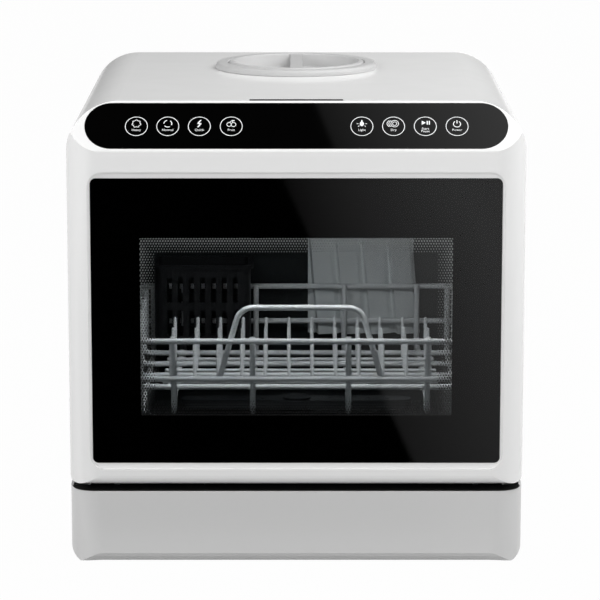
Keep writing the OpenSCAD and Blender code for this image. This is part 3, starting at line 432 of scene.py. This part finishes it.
# each finish and the CAD nodes that have it
FINISH = {
    white_shell: ["outer_shell", "door_shell"],
    white_plinth_painted_shade: ["front_plinth"],
    white_cap: ["filler_ring", "tank_cap"],
    white_cover: ["rear_cover"],
    pan_coat: ["base_pan"],
    black_rubber: ["rubber_feet", "tub_gasket", "cap_gasket", "inner_window_seal", "power_gland"],
    dark_mould: [
        "front_frame",
        "sump",
        "wash_pump",
        "drain_pump",
        "fan_housing",
        "latch_housing",
        "door_liner",
        "lower_arm_stem",
        "upper_arm_stem",
    ],
    holder_mould: ["cutlery_holder"],
    tub_mould: ["tub", "drain_spigot", "filter_cup"],
    arm_mould: ["lower_spray_arm", "upper_spray_arm"],
    duct_mould: ["air_duct_panel"],
    pale_mould: [
        "float_guide",
        "level_float",
        "pump_impeller",
        "fan_wheel",
        "inlet_spigot",
        "latch_bolt",
    ],
    tank_wall: ["water_tank"],
    lens: ["tub_lamp"],
    zinc: [
        "flow_heater",
        "cover_screws",
        "hinge_arm_left",
        "hinge_arm_right",
        "latch_spring",
        "hinge_bracket_left",
        "hinge_bracket_right",
        "hinge_pins",
        "latch_strike",
        "liner_screws",
    ],
    glass_front: ["door_glass"],
    glass_inner: ["inner_window"],
    mask_print: ["window_mask"],
    strip_glass: ["control_strip"],
    solder_mask: ["main_board", "touch_board"],
    wire_coat: [
        "basket_rails",
        "basket_wires",
        "runner_wires",
        "basket_floor",
        "basket_tines",
        "basket_handle",
    ],
}
for finish, names in FINISH.items():
    for name in names:
        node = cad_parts[name]
        node.data.materials.clear()
        node.data.materials.append(finish)


# ---- modelling helpers ----


def clear_selection():
    """Leaves edit mode and deselects everything."""
    if bpy.context.object and bpy.context.object.mode != "OBJECT":
        bpy.ops.object.mode_set(mode="OBJECT")
    bpy.ops.object.select_all(action="DESELECT")


def only(piece):
    clear_selection()
    piece.select_set(True)
    bpy.context.view_layer.objects.active = piece


def settle(piece):
    """Puts the piece's place into its mesh."""
    only(piece)
    bpy.ops.object.transform_apply(location=True, rotation=True, scale=True)


def join(pieces, name):
    """Makes one piece of several, with its place in its mesh."""
    clear_selection()
    for piece in pieces:
        piece.select_set(True)
    bpy.context.view_layer.objects.active = pieces[0]
    bpy.ops.object.join()
    whole = bpy.context.object
    whole.name = name
    settle(whole)
    return whole


def another(piece):
    """A copy of a piece with a mesh of its own."""
    twin = piece.copy()
    twin.data = piece.data.copy()
    bpy.context.collection.objects.link(twin)
    return twin


def thicken(piece, depth):
    """Turns a flat mark into a thin solid that grows along its normal."""
    only(piece)
    modifier = piece.modifiers.new("depth", "SOLIDIFY")
    modifier.thickness = depth
    modifier.offset = 1.0
    bpy.ops.object.modifier_apply(modifier=modifier.name)


# ---- touch marks on the control strip ----
# Marks are drawn flat, in millimetres about the mark's own middle, then laid on the sloping face.

INK_DEPTH = 0.05 * MM
INK_LIFT = 0.13 * MM  # from the sloping plane to the ink's underside
GLYPH_MIDDLE = 1.6
GLYPH_SCALE = 1.2
WORD_SIZE = 3.4
WORD_LINE = 2.7


def ring_mark(radius, width, start=0.0, sweep=360.0, x=0.0, y=0.0, steps=64):
    """A ring, or the part of it that starts at an angle and sweeps anticlockwise."""
    clear_selection()
    outer, inner = radius + width / 2, radius - width / 2
    bpy.ops.mesh.primitive_circle_add(
        vertices=steps, radius=outer * MM, fill_type="NOTHING", location=(0, 0, 0)
    )
    mark = bpy.context.object
    bpy.ops.object.mode_set(mode="EDIT")
    bpy.ops.mesh.select_all(action="SELECT")
    bpy.ops.mesh.extrude_edges_move()
    bpy.ops.transform.resize(value=(inner / outer, inner / outer, 1.0))
    bpy.ops.object.mode_set(mode="OBJECT")
    if sweep < 360:
        for edge in mark.data.edges:
            edge.select = False
        for vertex in mark.data.vertices:
            vertex.select = False
        for face in mark.data.polygons:
            angle = math.degrees(math.atan2(face.center.y, face.center.x)) % 360
            face.select = (angle - start) % 360 > sweep
        bpy.ops.object.mode_set(mode="EDIT")
        bpy.ops.mesh.select_mode(type="FACE")
        bpy.ops.mesh.delete(type="FACE")
        bpy.ops.mesh.select_mode(type="VERT")
        bpy.ops.object.mode_set(mode="OBJECT")
    mark.location = (x * MM, y * MM, 0)
    settle(mark)
    return mark


def bar_mark(x0, y0, x1, y1, width):
    """A straight stroke with its corners cut."""
    clear_selection()
    length = math.hypot(x1 - x0, y1 - y0)
    middle = ((x0 + x1) / 2 * MM, (y0 + y1) / 2 * MM, 0)
    bpy.ops.mesh.primitive_plane_add(size=MM, location=middle)
    mark = bpy.context.object
    mark.scale = (length, width, 1)
    mark.rotation_euler.z = math.atan2(y1 - y0, x1 - x0)
    settle(mark)
    bpy.ops.object.mode_set(mode="EDIT")
    bpy.ops.mesh.select_all(action="SELECT")
    bpy.ops.mesh.bevel(offset=width * 0.3 * MM, affect="VERTICES", segments=2)
    bpy.ops.object.mode_set(mode="OBJECT")
    return mark


def disc_mark(radius, x=0.0, y=0.0, sides=24, turn=0.0, stretch=1.0):
    """A filled disc, or with three sides a triangle."""
    clear_selection()
    bpy.ops.mesh.primitive_circle_add(
        vertices=sides, radius=radius * MM, fill_type="NGON", location=(x * MM, y * MM, 0)
    )
    mark = bpy.context.object
    mark.rotation_euler.z = math.radians(turn)
    mark.scale = (1, stretch, 1)
    settle(mark)
    return mark


def word_mark(word, y, size):
    """A short word centred under its mark."""
    clear_selection()
    bpy.ops.object.text_add(location=(0, y * MM, 0))
    mark = bpy.context.object
    mark.data.body = word
    mark.data.size = size * MM
    mark.data.align_x = "CENTER"
    mark.data.resolution_u = 2
    bpy.ops.object.convert(target="MESH")
    settle(bpy.context.object)
    return bpy.context.object


def ray_mark(degrees, start, end, width):
    """A straight stroke that points away from the glyph's middle."""
    across, up = math.cos(math.radians(degrees)), math.sin(math.radians(degrees))
    near, far = GLYPH_MIDDLE + start * up, GLYPH_MIDDLE + end * up
    return bar_mark(start * across, near, end * across, far, width)


def scallops():
    """A seven-pointed rosette outline."""
    half_step = math.pi / 7
    strokes = []
    for i in range(7):
        tip = 2 * math.pi * i / 7 + math.pi / 2
        tip_x, tip_y = 3.6 * math.cos(tip), 3.6 * math.sin(tip) + GLYPH_MIDDLE
        for dip in (tip - half_step, tip + half_step):
            dip_x, dip_y = 2.7 * math.cos(dip), 2.7 * math.sin(dip) + GLYPH_MIDDLE
            strokes.append(bar_mark(tip_x, tip_y, dip_x, dip_y, 0.55))
    return strokes


def three_arcs():
    return [ring_mark(3.0, 0.7, start, 78, 0, GLYPH_MIDDLE) for start in (100, 220, 340)]


def bolt():
    return [
        bar_mark(1.2, 4.9, -1.3, 1.7, 1.0),
        bar_mark(-1.5, 1.7, 1.5, 1.7, 1.1),
        bar_mark(1.3, 1.8, -1.2, -1.5, 1.0),
    ]


def fruit():
    return [
        ring_mark(1.7, 0.5, x=-1.6, y=0.9, steps=28),
        ring_mark(1.8, 0.5, x=1.7, y=0.8, steps=28),
        bar_mark(-1.4, 2.6, 0.4, 4.4, 0.5),
        bar_mark(1.5, 2.6, 0.4, 4.4, 0.5),
        bar_mark(0.4, 4.4, 2.6, 4.3, 0.9),
    ]


def lamp():
    bulb = [disc_mark(1.6, 0, 1.5, 24, 0, 1.3), bar_mark(0, 3.4, 0, 4.8, 1.0)]
    return bulb + [ray_mark(degrees, 2.6, 3.9, 0.5) for degrees in (0, 180, 222, 318)]


def dry_plate():
    rim = ring_mark(2.9, 0.5, x=0.9, y=GLYPH_MIDDLE)
    well = ring_mark(1.6, 0.45, x=0.9, y=GLYPH_MIDDLE, steps=32)
    return [rim, well] + [ring_mark(2.9, 0.5, 115, 130, x, GLYPH_MIDDLE) for x in (-0.6, -2.0)]


def start_pause():
    return [
        disc_mark(2.1, -1.6, 1.9, 3, -90),
        bar_mark(1.5, 0.2, 1.5, 3.6, 0.9),
        bar_mark(3.1, 0.2, 3.1, 3.6, 0.9),
    ]


def power():
    return [ring_mark(2.7, 0.6, 125, 290, 0, 1.3), bar_mark(0, 1.8, 0, 4.7, 0.65)]


# for each mark, its place across the face, its glyph and its words
MARKS = [
    (-145.0, scallops, ["Heavy"]),
    (-116.5, three_arcs, ["Normal"]),
    (-87.9, bolt, ["Quick"]),
    (-59.0, fruit, ["Fruit"]),
    (59.5, lamp, ["Light"]),
    (88.2, dry_plate, ["Dry"]),
    (117.0, start_pause, ["Start", "Pause"]),
    (145.8, power, ["Power"]),
]

MARK_NUDGE = -0.6 * MM  # the row of marks sits a little below the face's middle


def touch_mark(drawing, words, ring):
    """One mark, flat: its glyph over one or two words, in a ring."""
    glyph = join(drawing(), "glyph")
    glyph.scale = (GLYPH_SCALE, GLYPH_SCALE, 1.0)
    glyph.location.y = (0.9 if len(words) == 1 else 1.5) * MM
    settle(glyph)
    first_line = -5.0 + 1.4 * (len(words) - 1)
    lines = [word_mark(word, first_line - WORD_LINE * i, WORD_SIZE) for i, word in enumerate(words)]
    return join([glyph, ring, *lines], "touch_mark")


face_middle = Vector((0, FRONT + SLOPE_BACK / 2, SLOPE_FOOT + SLOPE_RISE / 2))
face_turn = Matrix.Rotation(math.pi / 2 - LEAN, 4, "X")
on_face = (
    Matrix.Translation(face_middle) @ face_turn @ Matrix.Translation((0, MARK_NUDGE, INK_LIFT))
)
rings = [ring_mark(10.0, 0.62)]
rings += [another(rings[0]) for _ in MARKS[1:]]
marks = []
for (across, drawing, words), ring in zip(MARKS, rings):
    mark = touch_mark(drawing, words, ring)
    mark.matrix_world = on_face
    mark.location.x = across * MM
    settle(mark)
    marks.append(mark)
touch_marks = join(marks, "touch_marks")
thicken(touch_marks, INK_DEPTH)
touch_marks.data.materials.clear()
touch_marks.data.materials.append(ink)
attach(touch_marks, "door")


# ---- black sheet on the plinth's top under the door: painted shade for the deep gap ----


SHADE_SHEET_INSET = 2 * MM  # from the plinth's outline
SHADE_SHEET_DEPTH = 21 * MM
SHADE_SHEET_THICK = 0.4 * MM
SHADE_SHEET_LIFT = 0.15 * MM
SHADE_SHEET_CORNER = 20.9 * MM


def gap_strip():
    clear_selection()
    low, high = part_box("front_plinth")
    middle = (0, low[1] + SHADE_SHEET_INSET + SHADE_SHEET_DEPTH / 2, high[2] + SHADE_SHEET_LIFT)
    bpy.ops.mesh.primitive_plane_add(size=1, location=middle)
    strip = bpy.context.object
    strip.scale = (high[0] - low[0] - 2 * SHADE_SHEET_INSET, SHADE_SHEET_DEPTH, 1)
    settle(strip)
    front = [v.index for v in strip.data.vertices if v.co.y < middle[1]]
    strip.vertex_groups.new(name="front corners").add(front, 1.0, "ADD")
    rounding = strip.modifiers.new("corners", "BEVEL")
    rounding.affect = "VERTICES"
    rounding.limit_method = "VGROUP"
    rounding.vertex_group = "front corners"
    rounding.width = SHADE_SHEET_CORNER
    rounding.segments = 10
    bpy.ops.object.modifier_apply(modifier=rounding.name)
    thicken(strip, SHADE_SHEET_THICK)
    # the sheet is painted shade, not a part of the machine
    strip.name = "plinth_gap_painted_shade"
    strip.data.materials.append(gap_painted_shade)
    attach(strip, "cabinet")


gap_strip()


# ---- latch spring as a real coil ----

SPRING_TURNS = 5
STEPS_IN_A_TURN = 28
WIRE = 0.45 * MM  # radius


def coil_spring():
    """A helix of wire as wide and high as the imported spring."""
    clear_selection()
    middle = [(a + b) / 2 for a, b in zip(spring_low, spring_high)]
    radius = (spring_high[0] - spring_low[0]) / 2 - WIRE
    rise = spring_high[2] - spring_low[2] - 2 * WIRE
    bpy.ops.mesh.primitive_circle_add(
        vertices=10,
        radius=WIRE,
        location=(middle[0] + radius, middle[1], spring_low[2] + WIRE),
        rotation=(math.pi / 2, 0, 0),
    )
    spring = bpy.context.object
    settle(spring)
    # the Screw modifier turns about the origin
    bpy.context.scene.cursor.location = (middle[0], middle[1], spring_low[2] + WIRE)
    bpy.ops.object.origin_set(type="ORIGIN_CURSOR")
    screw = spring.modifiers.new("coil", "SCREW")
    screw.angle = 2 * math.pi
    screw.iterations = SPRING_TURNS
    screw.screw_offset = rise / SPRING_TURNS
    screw.steps = STEPS_IN_A_TURN
    screw.render_steps = STEPS_IN_A_TURN
    bpy.ops.object.modifier_apply(modifier=screw.name)
    settle(spring)
    bpy.ops.object.mode_set(mode="EDIT")
    bpy.ops.mesh.select_all(action="SELECT")
    bpy.ops.mesh.remove_doubles(threshold=0.00001)
    bpy.ops.mesh.fill_holes(sides=0)
    bpy.ops.mesh.normals_make_consistent(inside=False)
    bpy.ops.object.mode_set(mode="OBJECT")
    bpy.ops.object.shade_smooth()
    spring.name = "latch_coil"
    return spring


latch_coil = coil_spring()
latch_coil.data.materials.append(zinc)
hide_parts("latch_spring")
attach(latch_coil, "cabinet")
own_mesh(latch_coil)


# ---- studio ----


FLOOR_WHITE = 0.985  # share of plain white that is seen; the rest shows the object's shadow


def studio_surface(name, colour, shown):
    """Floor colour for light on it, and plain white where the camera or a mirror looks at it."""
    shade = Shade(name)
    path = shade.add("ShaderNodeLightPath").socket.node
    seen = Value(shade, path.outputs["Is Camera Ray"])
    seen = seen.maths("MAXIMUM", Value(shade, path.outputs["Is Glossy Ray"]))
    seen = seen.maths("MAXIMUM", Value(shade, path.outputs["Is Transmission Ray"]))
    lit = shade.principled(Base_Color=colour, Roughness=0.9, Specular_IOR_Level=0.0)
    white = shade.add("ShaderNodeEmission", {"Color": (1, 1, 1, 1), "Strength": 1.0})
    return shade.done(shade.mix(seen * shown, lit, white))


def add_floor():
    clear_selection()
    bpy.ops.mesh.primitive_plane_add(size=14, location=(0, 0, 0))
    floor = bpy.context.object
    floor.name = "studio_floor"
    floor.data.materials.append(studio_surface("studio floor", (0.3, 0.3, 0.3), FLOOR_WHITE))


BORDER_BLUR = 0.008
LIFT_START = 0.33  # share of the card's depth from its middle to where the lift begins


def mirror_card(name, location, size, border, slant, levels, run, lift=0.0):
    """A card that only glossy surfaces see: black to the left of a slanting border, and to the
    right of it a grey that grows over a run and with a lift along Y."""
    clear_selection()
    bpy.ops.mesh.primitive_plane_add(size=1, location=location)
    card = bpy.context.object
    card.name = name
    card.scale = (*size, 1)
    shade = Shade(name)
    x, y, _ = shade.axes()
    along = x * size[0] - border - y * (size[1] * slant)
    near, far = ((level, level, level) for level in levels)
    grey = shade.blend((along / run + (y + LIFT_START) * lift).clamp(), near, far)
    glow = shade.principled(
        Base_Color=(0, 0, 0),
        Specular_IOR_Level=0.0,
        Emission_Color=shade.blend((along / BORDER_BLUR).clamp(), (0, 0, 0), grey),
        Emission_Strength=1.0,
    )
    card.data.materials.append(shade.done(glow))
    card.visible_camera = False
    card.visible_diffuse = False
    card.visible_shadow = False
    card.visible_transmission = False


def soft_box(name, place, target, size, watts):
    """A rectangular lamp that lights the scene but isn't seen or mirrored."""
    data = bpy.data.lights.new(name, "AREA")
    data.shape = "RECTANGLE"
    data.size, data.size_y = size
    data.energy = watts
    lamp_object = bpy.data.objects.new(name, data)
    lamp_object.location = place
    aim = Vector(target) - Vector(place)
    lamp_object.rotation_euler = aim.to_track_quat("-Z", "Y").to_euler()
    lamp_object.visible_glossy = False
    lamp_object.visible_camera = False
    bpy.context.collection.objects.link(lamp_object)


add_floor()
# the borders are the photograph's diagonal edges, traced back from the glass to each card
mirror_card(
    "front reflection card",
    (0, -1.6, 0.01),
    (3.2, 2.6),
    border=0.0417,
    slant=0.0742,
    levels=(0.0722, 0.8),
    run=0.282,
    lift=0.3044,
)
mirror_card(
    "upper reflection card",
    (0, -0.9, 1.9),
    (3.2, 2.4),
    border=0.1369,
    slant=-0.4005,
    levels=(0.15, 0.86),
    run=0.26,
)

soft_box("overhead soft box", (0.85, 0.0, 1.3), (0.1, 0, 0.4), (1.0, 1.2), 18.5)
soft_box("front soft box", (0.3, -2.3, 1.5), (0, -0.1, 0.25), (1.5, 1.0), 19)
soft_box("low front fill", (0.3, -2.5, 0.6), (0, 0, 0.25), (1.4, 0.7), 11)
soft_box("left strip light", (-1.9, -0.7, 1.3), (0, 0, 0.3), (0.7, 1.2), 24)
soft_box("right strip light", (1.9, -0.9, 1.0), (0, 0, 0.25), (0.7, 1.6), 1)
soft_box("light inside the tub", (0.0, -0.162, 0.345), (0.0, -0.13, 0.16), (0.28, 0.012), 0.65)

WORLD_LIGHT = 0.25
WORLD_SHOWN = 1.0  # where the camera looks straight at it

world = bpy.data.worlds.new("studio")
bpy.context.scene.world = world
sky = Shade("studio", world, "ShaderNodeOutputWorld")
seen = sky.add("ShaderNodeLightPath", out="Is Camera Ray")
strength = seen * (WORLD_SHOWN - WORLD_LIGHT) + WORLD_LIGHT
sky.done(sky.add("ShaderNodeBackground", {"Color": (1, 1, 1, 1), "Strength": strength}))


# ---- camera ----

PHOTO_SIDE = 600  # pixels
FOCAL_LENGTH = 3111.3  # pixels, fitted to the photograph's edges like the place and the tilt
SENSOR = 36

camera_data = bpy.data.cameras.new("camera")
camera_data.lens = FOCAL_LENGTH * SENSOR / PHOTO_SIDE
camera_data.sensor_width = SENSOR
camera_data.shift_x = 0.0062
camera = bpy.data.objects.new("camera", camera_data)
camera.location = (0, -3.0, 0.789)
camera.rotation_euler = (math.radians(90 - 10.943), 0, 0)
bpy.context.collection.objects.link(camera)
bpy.context.scene.camera = camera
bpy.context.scene.view_settings.view_transform = "Standard"
